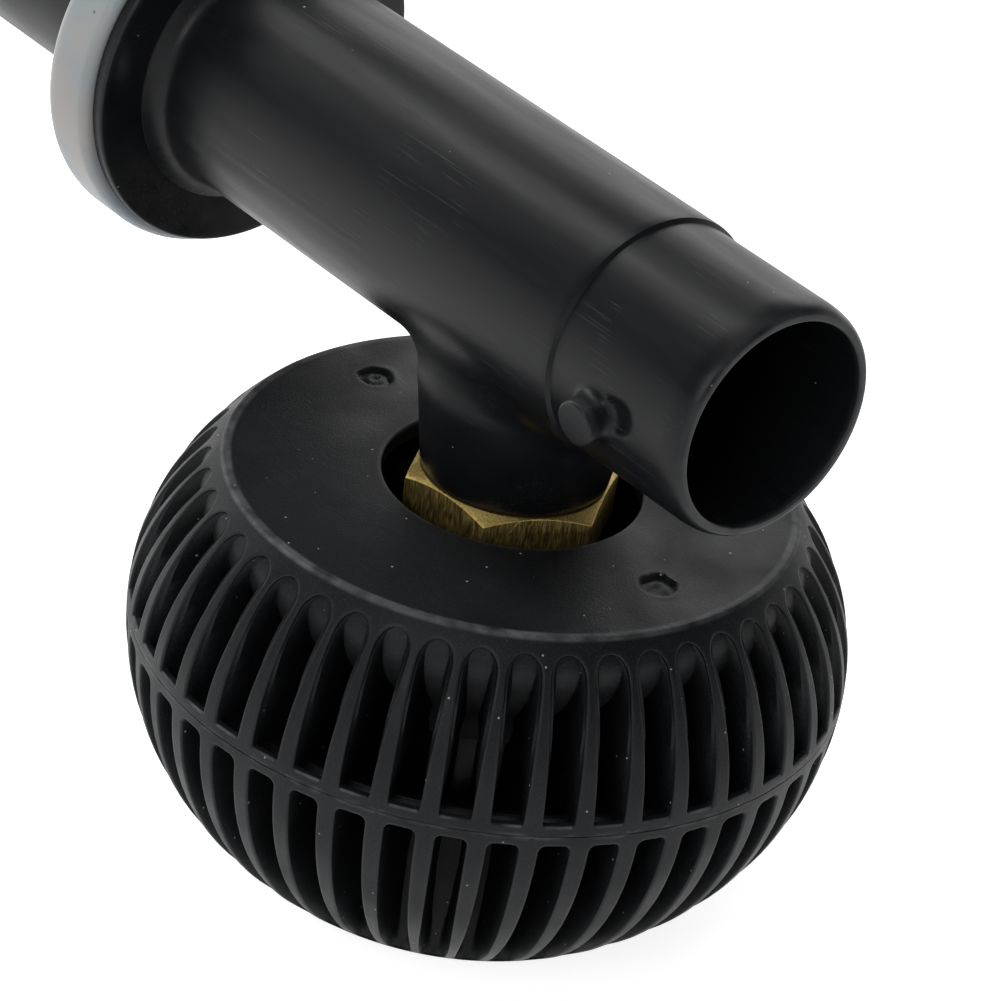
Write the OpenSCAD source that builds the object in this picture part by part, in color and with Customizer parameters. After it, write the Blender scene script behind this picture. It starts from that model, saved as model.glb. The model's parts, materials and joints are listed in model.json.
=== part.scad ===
// Submersible fountain pump: ribbed strainer cage, in-line canned pump, brass nipple and tee outlet.
// Origin: centre of the cage's flat underside. +Z is up, +X runs along the outlet tube to its mouth.

/* [Strainer cage] */
// Radius of the cage at its band
cage_r = 48; // [44:0.5:54]
// Height of the plane where the two cage shells meet
band_z = 36.5; // [34:0.5:40]
// Height of the flat top of the cage
disc_z = 59.5; // [57:0.5:64]
// Half height of the ellipse that shapes the upper shell
dome_h = 37.4; // [34:0.2:46]
// Half height of the ellipse that shapes the lower shell
bowl_h = 42.2; // [41:0.2:50]
// Height of the solid ring at the edge of each shell
ring_h = 1.5; // [1:0.1:2.5]
// Number of slots around each shell
slot_count = 46; // [30:2:46]
// Width of a slot at the outside
slot_w = 4; // [2.5:0.1:4.2]
// Thinnest part of the fin between two slots
fin_t = 1.2; // [1:0.05:1.4]
// Angle of the first slot from +X
slot_phase = 2.2; // [0:0.1:7]
// Distance from the flat top down to the slot ends
slot_drop = 2.8; // [2.8:0.1:5]
// Thickness of the wall behind the fins
core_t = 1.8; // [1.2:0.1:2.2]
// Thickness of the flat top
disc_t = 2.5; // [1.8:0.1:2.6]
// Radius of the hole in the flat top
disc_hole_r = 17.2; // [15:0.1:20]
// Thickness of the cage floor
floor_t = 3; // [2:0.1:4]
// Height of the water windows in the lower shell
window_h = 11.5; // [6:0.5:14]
// Radial thickness of the locating lip between the shells
lip_t = 1.8; // [1.2:0.1:2.4]
// Height of the locating lip
lip_h = 1.4; // [0.8:0.1:2]
// Distance of the two screw bosses from the axis
boss_x = 29; // [26:0.5:29.5]
// Radius of a screw boss
boss_r = 3.4; // [2.8:0.1:3.6]
// Radius of the gate dimples above the bosses
dimple_r = 2.3; // [1:0.1:3]
// Depth of the gate dimples
dimple_d = 0.5; // [0.2:0.1:0.8]

/* [Tee outlet] */
// Height of the branch foot above the flat top
foot_gap = 1.5; // [0.5:0.1:4]
// Height of the tube axis above the branch foot
branch_h = 29.6; // [26:0.1:40]
// Radius of the branch at its foot
foot_r = 12.4; // [11.8:0.1:14]
// Radius of the branch under the tube
branch_top_r = 14.4; // [13:0.1:16]
// Outer radius of the tube
tube_r = 16.6; // [16.4:0.1:20]
// Outer radius of the tube's mouth end
mouth_r = 16; // [15.6:0.1:16.4]
// Distance from the branch axis to the mouth
mouth_x = 43.2; // [38:0.1:60]
// Distance from the branch axis to the step before the mouth end
step_x = 19.8; // [18:0.1:22]
// Bore radius at the mouth
mouth_bore_r = 14; // [13.5:0.1:14.4]
// Depth of the mouth bore
mouth_bore_d = 31.2; // [24:0.1:34]
// Bore radius along the middle of the tube
tube_bore_r = 13.4; // [12.5:0.1:13.5]
// Length of the rounded outer edge at the mouth
lip_round_l = 3.6; // [1:0.1:5]
// Wall thickness left at the rounded mouth edge
lip_edge_t = 0.8; // [0.5:0.1:1.2]
// Distance from the branch axis to the flange face on the tube side
flange_x = 61.5; // [50:0.1:80]
// Radius of the flange
flange_r = 25.7; // [22:0.1:32]
// Thickness of the flange
flange_t = 2.1; // [1.5:0.1:4]
// Radius of the collar at the flange root
collar_r = 19; // [17.5:0.1:20]
// Length of the collar at the flange root
collar_l = 3.6; // [2:0.1:6]
// Outer radius of the rear spigot
spigot_r = 14.5; // [14:0.1:15.5]
// Length of the rear spigot past the gasket
spigot_l = 37; // [20:0.5:60]
// Bore radius of the rear spigot
spigot_bore_r = 12; // [10:0.1:12.5]
// Extra radius of the seat that the gasket sits on
seat_step = 0.2; // [0.1:0.1:0.4]
// Radius of the flange gasket
gasket_r = 27.1; // [25:0.1:33]
// Thickness of the flange gasket
gasket_t = 8.9; // [4:0.1:12]
// Distance of the bayonet pins from the branch axis
pin_x = 28; // [25:0.1:32]
// Radius of a bayonet pin
pin_r = 3; // [2:0.1:3.5]
// Distance from the tube axis to a pin's tip
pin_tip_r = 19.2; // [17.5:0.1:22]
// Angle that the line through both pins makes with the horizontal
pin_tilt = 9; // [0:1:15]

/* [Brass nipple] */
// Width of the hexagon across its flats
hex_af = 25.2; // [22:0.1:25.4]
// Height of the hexagon
hex_h = 7; // [5:0.1:7.4]
// Height of the chamfer on the hexagon
hex_chamfer_h = 1.2; // [0.5:0.1:2.5]
// Radius of the threaded stubs
stub_r = 9; // [8:0.1:9.6]
// Length of the upper threaded stub
upper_stub_l = 12; // [8:0.1:13]
// Length of the lower threaded stub
lower_stub_l = 9.5; // [8:0.1:10.5]
// Bore radius of the nipple
nipple_bore_r = 6.5; // [5:0.1:7]
// Thickness of the flat seal under the hexagon
seal_t = 1.5; // [1:0.1:2]
// Outside radius of the seal and of the bracket's middle
seal_r = 11; // [10.4:0.1:11.2]

/* [Hanging bracket] */
// Thickness of the bracket
bracket_t = 1.5; // [1:0.1:2]
// Width of the bracket's arms
bracket_w = 7; // [5:0.1:8]
// Thickness of the rubber washers on the bracket
washer_t = 1; // [0.6:0.1:1.4]
// Radius of the bracket screws
screw_r = 1.5; // [1.2:0.1:1.7]
// Head radius of the bracket screws
screw_head_r = 2.7; // [2.2:0.1:3]
// Head height of the bracket screws
screw_head_h = 1.8; // [1.4:0.1:2]

/* [Pump casing] */
// Outer radius of the casing
casing_r = 22; // [20.8:0.1:23]
// Thickness of the casing wall
casing_wall = 2; // [1.6:0.1:2.2]
// Height of the casing from its open end to its roof
casing_h = 32; // [31:0.1:34]
// Thickness of the casing roof
roof_t = 2.5; // [1.8:0.1:3]
// Height of the threaded neck above the roof's underside
neck_h = 8; // [7.6:0.1:9]
// Outer radius of the threaded neck
neck_r = 11.4; // [10.8:0.1:11.6]
// Thickness of the inlet cover's plate
cover_t = 2; // [1.6:0.1:3]
// Radius of the inlet eye
eye_r = 7; // [5:0.1:8]
// Radius of the ears that take the cover screws
ear_r = 2.5; // [2.1:0.1:2.5]
// Height of the casing's ears
ear_h = 6; // [4:0.1:8]
// Radius of the cover screws
cover_screw_r = 1; // [0.8:0.1:1.1]
// Height of the cover's locating spigot
cover_spigot_h = 2.6; // [2.2:0.1:3]
// Distance of the cable gland from the axis
gland_y = 14.9; // [14.5:0.1:15]
// Radius of the cable that the gland takes
cable_r = 2; // [1.5:0.1:2.2]

/* [Motor] */
// Height of the water passage over the motor
passage_h = 3; // [2:0.1:4]
// Width of the water passage around the motor
passage_w = 2.4; // [1.8:0.1:2.6]
// Height of the sealed motor
motor_h = 20; // [19.6:0.1:21]
// Thickness of the motor shell
shell_t = 1.5; // [1.2:0.1:1.6]
// Inner radius of the isolation can
can_r = 8.4; // [8.2:0.1:8.6]
// Wall thickness of the isolation can
can_t = 0.8; // [0.6:0.1:0.8]
// Height of the stator core
core_h = 9; // [7:0.1:9.4]
// Number of stator teeth
tooth_count = 6; // [6:1:6]
// Thickness of the drive board
board_t = 1.2; // [0.8:0.1:1.4]
// Radius of the ceramic shaft
shaft_r = 1.5; // [1.3:0.05:1.6]
// Outer radius of the bearing bushes
bush_r = 2.8; // [2.4:0.1:3]
// Outer radius of the rotor hub
hub_r = 4.4; // [4:0.1:4.8]
// Outer radius of the rotor magnet
magnet_r = 7.7; // [7.4:0.1:7.9]
// Length of the rotor magnet
magnet_l = 7.6; // [6:0.1:8]
// Radius of the impeller
impeller_r = 14.2; // [12:0.1:14.6]
// Height of the impeller
impeller_h = 5.6; // [5:0.1:5.8]
// Number of impeller blades
blade_count = 6; // [4:1:8]
// Thickness of an impeller blade
blade_t = 1; // [0.8:0.1:1.4]

/* [Hidden] */
$fn = 96;

// Clearances
slip = 0.05;        // radial play of round pieces that stay put
shaft_play = 0.04;  // radial play of the bushes on the shaft
lip_play = 0.3;     // play of the locating lip between the shells
waist_gap = 0.8;    // room between the pump and the fins around it
hole_play = 0.3;    // play of a plain hole around a screw or thread
end_play = 0.2;     // axial play at each side of a thrust washer
over = 1;           // how far a cutter runs past the face it cuts
profile_steps = 9;  // straight facets along each shell's curved outline

// Heights from the flat top down to the inlet cover
foot_z = disc_z + foot_gap;
tube_z = foot_z + branch_h;
hex_z = foot_z - hex_h;
bracket_top_z = hex_z - seal_t;
bracket_z = bracket_top_z - bracket_t;
boss_z = bracket_top_z + washer_t;
disc_under_z = disc_z - disc_t;
roof_z = bracket_z - neck_h;
casing_z = roof_z - casing_h;
cover_z = casing_z - cover_t;
shell_top_z = roof_z - passage_h;
motor_z = shell_top_z - motor_h;

// Cage
slot_top_z = disc_z - slot_drop;
pitch = 360 / slot_count;
outside_r = cage_r + over;
ear_x = casing_r + 0.6;
waist_r = ear_x + ear_r + waist_gap;
core_top_r = dome_r(slot_top_z) - 1.9;
window_z = band_z - window_h;
slot_end_z = 4.8;
bowl_foot_r = bowl_r(slot_end_z) - 0.2;
cavity_foot_z = floor_t + 3;
cavity_foot_r = bowl_foot_r - core_t - 1.3;
cavity_floor_r = cavity_foot_r - 3;
ring_in_r = cage_r - 3.9;
lip_r = ring_in_r - lip_play;
lip_mid_r = lip_r - lip_t / 2;
window_sill = 0.6;
full_slot_r = (slot_w + fin_t) * slot_count / (2 * PI);
slot_in_r = waist_r - 2;

// Tee
rear_x = flange_x + flange_t;
gasket_x = rear_x + gasket_t;
seat_l = gasket_t + 0.5;
spigot_end_x = gasket_x + spigot_l;
seat_r = spigot_r + seat_step;
spigot_chamfer = 1;
edge_round = 1.6;

// Nipple
hex_r = hex_af / 2 / cos(30);
hex_turn = 5;
hex_top_r = hex_af / 2 - 0.15;
chamfer_low_z = foot_z - hex_chamfer_h * (hex_r + over - hex_top_r) / (hex_r - hex_top_r);

// Casing and cover
casing_in_r = casing_r - casing_wall;
post_angles = [40, 130, 220, 310];
ring_groove_r = casing_in_r - 1.2;
cover_spigot_r = casing_in_r - 0.1;
ring_section_r = 0.55;
rib_w = 1.6;
gland_r = cable_r + 0.6;
boss_wall = 1.2;

// Motor
shell_r = casing_in_r - passage_w;
shell_in_r = shell_r - shell_t;
can_flange_t = 1.5;
can_spigot_h = 3;
can_top_t = 1.2;
can_top_z = shell_top_z - shell_t - 2.5;
can_in_top_z = can_top_z - can_top_t;
shaft_seat_h = 2;
core_z = motor_z + can_flange_t + can_spigot_h + 0.3;
core_r = shell_in_r - 0.1;
coil_in_r = can_r + can_t + 1.2;
coil_out_r = core_r - 2.7;
coil_over = 1.2;
tooth_w = 3.6;
coil_t = 1.2;
board_z = can_top_z + 0.3;
chip_h = 0.8;

// Rotor
impeller_top_z = motor_z - 1;
impeller_z = impeller_top_z - impeller_h;
plate_t = 1.2;
hub_low_r = 5;
thrust_t = 0.5;
cover_boss_z = impeller_z - thrust_t - 2 * end_play;
seat_z = can_in_top_z - shaft_seat_h;
rear_washer_z = seat_z - end_play / 2 - thrust_t;
bush_l = 4;
rear_bush_z = rear_washer_z - end_play - bush_l;
hub_top_z = rear_bush_z + bush_l - 0.2;
magnet_z = hub_top_z - magnet_l;
seat_r_out = 3.2;

// Radius of the upper shell's outline at a height
function dome_r(z) = cage_r * sqrt(1 - pow((z - band_z) / dome_h, 2));
// Radius of the lower shell's outline at a height
function bowl_r(z) = cage_r * sqrt(1 - pow((z - band_z) / bowl_h, 2));
// Height of an outline point, spaced evenly by angle along the ellipse
function dome_z(step) = band_z + dome_h * sin(step / profile_steps * asin((disc_z - band_z) / dome_h));
function bowl_z(step) = band_z - bowl_h * sin(step / profile_steps * asin(band_z / bowl_h));

// A flat ring about the Z axis
module ring(r_out, r_in, z, h) {
    translate([0, 0, z])
    difference() {
        cylinder(r = r_out, h = h);
        translate([0, 0, -over]) cylinder(r = r_in, h = h + 2 * over);
    }
}

// A round section swept about the Z axis
module o_ring(r, z, section_r) {
    rotate_extrude()
    translate([r, z])
    circle(r = section_r, $fn = 32);
}

// One wedge-shaped slot: its side view cuts the fin pattern only inside its plan view
module slot(side_view) {
    in_half = (2 * PI * slot_in_r / slot_count - fin_t) / 2;
    intersection() {
        linear_extrude(height = disc_z)
        polygon([
            [slot_in_r, -in_half], [full_slot_r, -slot_w / 2], [outside_r, -slot_w / 2],
            [outside_r, slot_w / 2], [full_slot_r, slot_w / 2], [slot_in_r, in_half]
        ]);
        rotate([90, 0, 0])
        translate([0, 0, -slot_w])
        linear_extrude(height = 2 * slot_w)
        polygon(side_view);
    }
}

module slots(side_view) {
    for (i = [0 : slot_count - 1])
        rotate([0, 0, slot_phase + i * pitch]) slot(side_view);
}

module upper_strainer() {
    outline = [for (i = [0 : profile_steps]) [dome_r(dome_z(i)), dome_z(i)]];
    inside = [
        [disc_hole_r, disc_z], [disc_hole_r, disc_under_z],
        [core_top_r - core_t, disc_under_z], [waist_r, band_z]
    ];
    side_view = [
        [waist_r + core_t, band_z - over], [lip_mid_r, band_z - over], [lip_mid_r, band_z + ring_h],
        [outside_r + over, band_z + ring_h], [outside_r + over, slot_top_z], [core_top_r, slot_top_z],
        [waist_r + core_t, band_z]
    ];
    color([0.07, 0.075, 0.08])
    difference() {
        union() {
            difference() {
                rotate_extrude() polygon(concat(outline, inside));
                slots(side_view);
                ring(ring_in_r, lip_r - lip_t - lip_play, band_z - over, over + lip_h + lip_play);
            }
            for (side = [-1, 1])
                translate([side * boss_x, 0, boss_z])
                cylinder(r = boss_r, h = disc_under_z - boss_z + disc_t / 2, $fn = 48);
        }
        for (side = [-1, 1]) {
            translate([side * boss_x, 0, boss_z - over])
            cylinder(r = screw_r + slip, h = disc_under_z - boss_z + over, $fn = 32);
            translate([side * boss_x, 0, disc_z - dimple_d])
            cylinder(r = dimple_r, h = over, $fn = 32);
        }
    }
}

module lower_strainer() {
    outline = [for (i = [0 : profile_steps]) [bowl_r(bowl_z(i)), bowl_z(i)]];
    inside = [
        [0, 0], [0, floor_t], [cavity_floor_r, floor_t], [cavity_foot_r, cavity_foot_z],
        [waist_r, window_z - window_sill], [waist_r, band_z]
    ];
    side_view = [
        [slot_in_r, window_z], [waist_r + core_t, window_z], [bowl_foot_r, slot_end_z],
        [outside_r + over, slot_end_z], [outside_r + over, band_z - ring_h],
        [lip_mid_r, band_z - ring_h], [lip_mid_r, band_z + over], [slot_in_r, band_z + over]
    ];
    color([0.07, 0.075, 0.08])
    union() {
        difference() {
            rotate_extrude() polygon(concat(outline, inside));
            slots(side_view);
        }
        ring(lip_r, lip_r - lip_t, band_z - ring_h, ring_h + lip_h);
    }
}

// Outline of the tee's outside as [radius, distance along X]
function tee_outline() = concat(
    [[0, mouth_x]],
    [for (a = [90 : -22.5 : 0]) [
        mouth_r - (mouth_r - mouth_bore_r - lip_edge_t) * (1 - cos(a)),
        mouth_x - lip_round_l * (1 - sin(a))
    ]],
    [
        [mouth_r, step_x], [tube_r, step_x], [tube_r, -flange_x + collar_l],
        [collar_r, -flange_x + collar_l / 2], [collar_r, -flange_x], [flange_r, -flange_x],
        [flange_r, -rear_x], [seat_r, -rear_x], [seat_r, -rear_x - seat_l], [spigot_r, -rear_x - seat_l],
        [spigot_r, -spigot_end_x + spigot_chamfer], [spigot_r - spigot_chamfer, -spigot_end_x],
        [0, -spigot_end_x]
    ]
);

module along_tube() {
    translate([0, 0, tube_z])
    rotate([0, 90, 0])
    children();
}

module tee_pipe() {
    color([0.06, 0.065, 0.07])
    difference() {
        union() {
            along_tube() rotate_extrude() polygon(tee_outline());
            translate([0, 0, foot_z])
            cylinder(r1 = foot_r, r2 = branch_top_r, h = branch_h);
            for (side = [0, 180])
                translate([pin_x, 0, tube_z])
                rotate([pin_tilt + side, 0, 0])
                rotate([-90, 0, 0])
                cylinder(r = pin_r, h = pin_tip_r, $fn = 48);
        }
        along_tube() {
            translate([0, 0, mouth_x - mouth_bore_d]) cylinder(r = mouth_bore_r, h = mouth_bore_d + over);
            translate([0, 0, -flange_x]) cylinder(r = tube_bore_r, h = flange_x + mouth_x - mouth_bore_d);
            translate([0, 0, -spigot_end_x - over])
            cylinder(r = spigot_bore_r, h = spigot_end_x - flange_x + 2 * over);
        }
        translate([0, 0, foot_z - over]) cylinder(r = stub_r + slip, h = upper_stub_l + over + slip);
        translate([0, 0, foot_z]) cylinder(r = nipple_bore_r + over, h = branch_h);
    }
}

module flange_gasket() {
    in_r = seat_r + 0.1;
    corner_x = gasket_t / 2 - edge_round;
    color([0.78, 0.8, 0.82])
    translate([-rear_x - gasket_t / 2, 0, tube_z])
    rotate([0, 90, 0])
    rotate_extrude()
    polygon(concat(
        [[in_r, -gasket_t / 2]],
        [for (a = [-90 : 22.5 : 0])
            [gasket_r - edge_round + edge_round * cos(a), -corner_x + edge_round * sin(a)]],
        [for (a = [0 : 22.5 : 90])
            [gasket_r - edge_round + edge_round * cos(a), corner_x + edge_round * sin(a)]],
        [[in_r, gasket_t / 2]]
    ));
}

module brass_nipple() {
    color([0.55, 0.45, 0.2])
    difference() {
        union() {
            intersection() {
                translate([0, 0, hex_z])
                rotate([0, 0, hex_turn])
                cylinder(r = hex_r, h = hex_h, $fn = 6);
                rotate_extrude()
                polygon([
                    [0, hex_z - over], [hex_r + over, hex_z - over], [hex_r + over, chamfer_low_z],
                    [hex_top_r, foot_z], [0, foot_z]
                ]);
            }
            translate([0, 0, foot_z - over]) cylinder(r = stub_r, h = upper_stub_l + over);
            translate([0, 0, hex_z - lower_stub_l]) cylinder(r = stub_r, h = lower_stub_l + over);
        }
        translate([0, 0, hex_z - lower_stub_l - over])
        cylinder(r = nipple_bore_r, h = hex_h + lower_stub_l + upper_stub_l + 2 * over);
    }
}

module nipple_seal() {
    color([0.15, 0.15, 0.16])
    ring(seal_r - 0.1, stub_r + 0.1, bracket_top_z, seal_t);
}

module pump_bracket() {
    color([0.68, 0.69, 0.7])
    translate([0, 0, bracket_z])
    linear_extrude(height = bracket_t)
    difference() {
        union() {
            circle(r = seal_r);
            square([2 * boss_x, bracket_w], center = true);
            for (side = [-1, 1])
                translate([side * boss_x, 0]) circle(r = boss_r, $fn = 48);
        }
        circle(r = stub_r + 0.2);
        for (side = [-1, 1])
            translate([side * boss_x, 0]) circle(r = screw_r + hole_play, $fn = 32);
    }
}

// A pan-head screw with a hexagon socket, head down, its shank rising from z = 0
module screw(shank_r, shank_l, head_r, head_h) {
    difference() {
        union() {
            cylinder(r = shank_r, h = shank_l, $fn = 32);
            translate([0, 0, -head_h]) cylinder(r = head_r, h = head_h, $fn = 48);
        }
        translate([0, 0, -head_h - over]) cylinder(r = shank_r * 0.7, h = over + head_h * 0.6, $fn = 6);
    }
}

module bracket_screws() {
    color([0.7, 0.71, 0.72])
    for (side = [-1, 1])
        translate([side * boss_x, 0, bracket_z])
        screw(screw_r, disc_under_z - bracket_z - 0.3, screw_head_r, screw_head_h);
}

module damping_washers() {
    color([0.12, 0.12, 0.12])
    for (side = [-1, 1])
        translate([side * boss_x, 0, 0])
        ring(boss_r, screw_r + 0.1, bracket_top_z, washer_t);
}

module pump_casing() {
    color([0.1, 0.11, 0.12])
    difference() {
        union() {
            difference() {
                translate([0, 0, casing_z]) cylinder(r = casing_r, h = casing_h + roof_t);
                translate([0, 0, casing_z - over]) cylinder(r = casing_in_r, h = casing_h + over);
            }
            translate([0, 0, roof_z]) cylinder(r = neck_r, h = neck_h);
            for (a = post_angles)
                rotate([0, 0, a]) {
                    translate([shell_r + slip, -rib_w / 2, motor_z + 2])
                    cube([casing_wall / 2 + passage_w, rib_w, roof_z + over - motor_z - 2]);
                    translate([neck_r + over, -rib_w / 2, shell_top_z])
                    cube([casing_in_r - neck_r - over / 2, rib_w, passage_h + over]);
                    translate([ear_x, 0, casing_z]) cylinder(r = ear_r, h = ear_h, $fn = 48);
                }
            translate([0, gland_y, shell_top_z])
            cylinder(r = gland_r + slip + boss_wall, h = roof_z + roof_t + over * 2 - shell_top_z, $fn = 64);
        }
        translate([0, 0, roof_z - over]) cylinder(r = stub_r + slip, h = neck_h + 2 * over);
        translate([0, gland_y, shell_top_z - over])
        cylinder(r = gland_r + slip, h = neck_h + passage_h + over, $fn = 64);
        for (a = post_angles)
            rotate([0, 0, a])
            translate([ear_x, 0, casing_z - over])
            cylinder(r = cover_screw_r + slip, h = ear_h, $fn = 32);
    }
}

module inlet_cover() {
    color([0.1, 0.11, 0.12])
    difference() {
        union() {
            translate([0, 0, cover_z]) cylinder(r = casing_r, h = cover_t);
            translate([0, 0, casing_z]) cylinder(r = cover_spigot_r, h = cover_spigot_h);
            for (a = post_angles)
                rotate([0, 0, a]) {
                    translate([ear_x, 0, cover_z]) cylinder(r = ear_r, h = cover_t, $fn = 48);
                    translate([impeller_r, -rib_w, casing_z])
                    cube([casing_in_r - impeller_r - 0.8, 2 * rib_w, motor_z - casing_z]);
                }
        }
        difference() {
            translate([0, 0, casing_z]) cylinder(r = impeller_r + 1.6, h = motor_z - casing_z + over);
            cylinder(r = 3.2, h = casing_z + cover_spigot_h);
        }
        difference() {
            translate([0, 0, cover_z - over]) cylinder(r = eye_r, h = cover_t + 2 * over);
            translate([0, 0, cover_z]) cover_spider();
        }
        ring(cover_spigot_r + over, ring_groove_r, casing_z + 0.7, 1.3);
        translate([0, 0, cover_boss_z]) cylinder(r = eye_r - over, h = cover_spigot_h + over);
        translate([0, 0, cover_z + 0.8]) cylinder(r = shaft_r + slip, h = casing_h, $fn = 32);
        for (a = post_angles)
            rotate([0, 0, a])
            translate([ear_x, 0, cover_z - over])
            cylinder(r = cover_screw_r + hole_play, h = cover_t + 2 * over, $fn = 32);
    }
}

// Three arms and the boss that hold the shaft's lower end in the inlet eye
module cover_spider() {
    cylinder(r = 3.2, h = cover_boss_z - cover_z + over);
    for (a = [90, 210, 330])
        rotate([0, 0, a])
        translate([0, -0.9, 0])
        cube([eye_r + over, 1.8, cover_t]);
}

module cover_o_ring() {
    color([0.12, 0.12, 0.12])
    o_ring(ring_groove_r + ring_section_r + slip, casing_z + 1.35, ring_section_r);
}

module cover_screws() {
    color([0.7, 0.71, 0.72])
    for (a = post_angles)
        rotate([0, 0, a])
        translate([ear_x, 0, cover_z])
        screw(cover_screw_r, cover_t + ear_h - 1.6, 1.9, 1.3);
}

module cable_gland() {
    top_z = roof_z + roof_t + 2 * over;
    color([0.12, 0.12, 0.12])
    translate([0, gland_y, 0])
    difference() {
        union() {
            translate([0, 0, roof_z - over]) cylinder(r = gland_r, h = top_z + over - roof_z, $fn = 48);
            translate([0, 0, top_z]) cylinder(r = gland_r + 0.3, h = 1.5, $fn = 48);
            translate([0, 0, top_z + 1.5]) cylinder(r1 = gland_r + 0.3, r2 = gland_r, h = 4.5, $fn = 48);
        }
        cylinder(r = cable_r, h = top_z + 10, $fn = 48);
    }
}

module motor_shell() {
    shell_z = motor_z + can_flange_t;
    color([0.14, 0.15, 0.16])
    difference() {
        translate([0, 0, shell_z]) cylinder(r = shell_r, h = shell_top_z - shell_z);
        translate([0, 0, shell_z - over]) cylinder(r = shell_in_r, h = shell_top_z - shell_t - shell_z + over);
        translate([0, shell_in_r - 2, shell_z]) cylinder(r = 1.4, h = motor_h, $fn = 32);
    }
}

module isolation_can() {
    spigot_r_out = shell_in_r - 0.1;
    spigot_z = motor_z + can_flange_t;
    color([0.18, 0.19, 0.2])
    union() {
        difference() {
            union() {
                translate([0, 0, motor_z]) cylinder(r = shell_r, h = can_flange_t);
                translate([0, 0, motor_z]) cylinder(r = can_r + can_t, h = can_top_z - motor_z);
                ring(spigot_r_out, spigot_r_out - 1.8, spigot_z - 0.5, can_spigot_h + 0.5);
            }
            translate([0, 0, motor_z - over]) cylinder(r = can_r, h = can_in_top_z - motor_z + over);
            ring(spigot_r_out + over, spigot_r_out - 1, spigot_z + 0.9, 1.3);
        }
        ring(seat_r_out, shaft_r + slip, seat_z, shaft_seat_h + can_top_t / 2);
    }
}

module shell_o_ring() {
    section_r = 0.5;
    color([0.12, 0.12, 0.12])
    o_ring(shell_in_r - 0.1 - 1 + section_r + slip, motor_z + can_flange_t + 1.55, section_r);
}

module stator_core() {
    color([0.45, 0.46, 0.48])
    translate([0, 0, core_z])
    linear_extrude(height = core_h)
    difference() {
        union() {
            difference() {
                circle(r = core_r);
                circle(r = core_r - 2);
            }
            for (i = [0 : tooth_count - 1])
                rotate(i * 360 / tooth_count)
                translate([can_r + can_t + 0.5, -tooth_w / 2])
                square([core_r - can_r - can_t - 1, tooth_w]);
        }
        circle(r = can_r + can_t + 0.3);
    }
}

module stator_coils() {
    color([0.7, 0.35, 0.16])
    for (i = [0 : tooth_count - 1])
        rotate([0, 0, i * 360 / tooth_count])
        difference() {
            translate([coil_in_r, -tooth_w / 2 - coil_t, core_z - coil_over])
            cube([coil_out_r - coil_in_r, tooth_w + 2 * coil_t, core_h + 2 * coil_over]);
            translate([coil_in_r - over, -tooth_w / 2 - slip, core_z - slip])
            cube([coil_out_r - coil_in_r + 2 * over, tooth_w + 2 * slip, core_h + 2 * slip]);
        }
}

module drive_board() {
    color([0.1, 0.35, 0.18])
    ring(shell_in_r - 0.6, 1.2, board_z, board_t);
}

module board_chips() {
    chip_z = board_z + board_t;
    color([0.08, 0.08, 0.09])
    for (a = [0 : 60 : 300])
        rotate([0, 0, a])
        translate([8, -1.5 - a / 360, chip_z])
        cube([4.5, 3 + a / 180, chip_h]);
}

module ceramic_shaft() {
    shaft_z = cover_z + 0.9;
    color([0.92, 0.92, 0.9])
    translate([0, 0, shaft_z]) cylinder(r = shaft_r, h = can_in_top_z - 0.1 - shaft_z, $fn = 48);
}

module front_thrust_washer() {
    color([0.9, 0.9, 0.88])
    ring(3, shaft_r + slip, cover_boss_z + end_play / 2, thrust_t);
}

module rear_thrust_washer() {
    color([0.9, 0.9, 0.88])
    ring(3, shaft_r + slip, rear_washer_z, thrust_t);
}

module bush(z, h) {
    color([0.2, 0.2, 0.21])
    ring(bush_r, shaft_r + shaft_play, z, h);
}

module front_bearing() {
    bush(impeller_z, bush_l);
}

module rear_bearing() {
    bush(rear_bush_z, bush_l);
}

module rotor_hub() {
    color([0.16, 0.17, 0.18])
    ring(hub_r, bush_r + slip, impeller_top_z, hub_top_z - impeller_top_z);
}

module rotor_magnet() {
    color([0.3, 0.3, 0.32])
    ring(magnet_r, hub_r + slip, magnet_z, magnet_l);
}

module impeller() {
    blade_h = impeller_h - plate_t - 0.2;
    color([0.16, 0.17, 0.18])
    difference() {
        union() {
            translate([0, 0, impeller_top_z - plate_t]) cylinder(r = impeller_r, h = plate_t);
            translate([0, 0, impeller_z]) cylinder(r = hub_low_r, h = impeller_h);
            for (i = [0 : blade_count - 1])
                rotate([0, 0, i * 360 / blade_count])
                translate([0, 0, impeller_z + 0.2])
                linear_extrude(height = blade_h + plate_t / 2)
                blade();
        }
        translate([0, 0, impeller_z - over]) cylinder(r = bush_r + slip, h = impeller_h + 2 * over);
    }
}

// One blade: the half of a bent arc that leans back from the hub to the rim
module blade() {
    arc_r = 0.6 * impeller_r;
    arc_x = 0.5 * impeller_r;
    intersection() {
        translate([arc_x, 0])
        difference() {
            circle(r = arc_r + blade_t / 2);
            circle(r = arc_r - blade_t / 2);
        }
        difference() {
            circle(r = impeller_r - 0.3);
            circle(r = hub_low_r - 0.4);
        }
        translate([-impeller_r, 0]) square([2 * impeller_r, impeller_r]);
    }
}

lower_strainer();
upper_strainer();
tee_pipe();
flange_gasket();
brass_nipple();
nipple_seal();
pump_bracket();
bracket_screws();
damping_washers();
pump_casing();
inlet_cover();
cover_o_ring();
cover_screws();
cable_gland();
motor_shell();
shell_o_ring();
stator_core();
stator_coils();
drive_board();
board_chips();
isolation_can();
ceramic_shaft();
front_thrust_washer();
rear_thrust_washer();
front_bearing();
rear_bearing();
rotor_hub();
rotor_magnet();
impeller();
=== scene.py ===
import json
import math

import bmesh
import bpy
import numpy as np
from mathutils import Matrix, Vector


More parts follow.
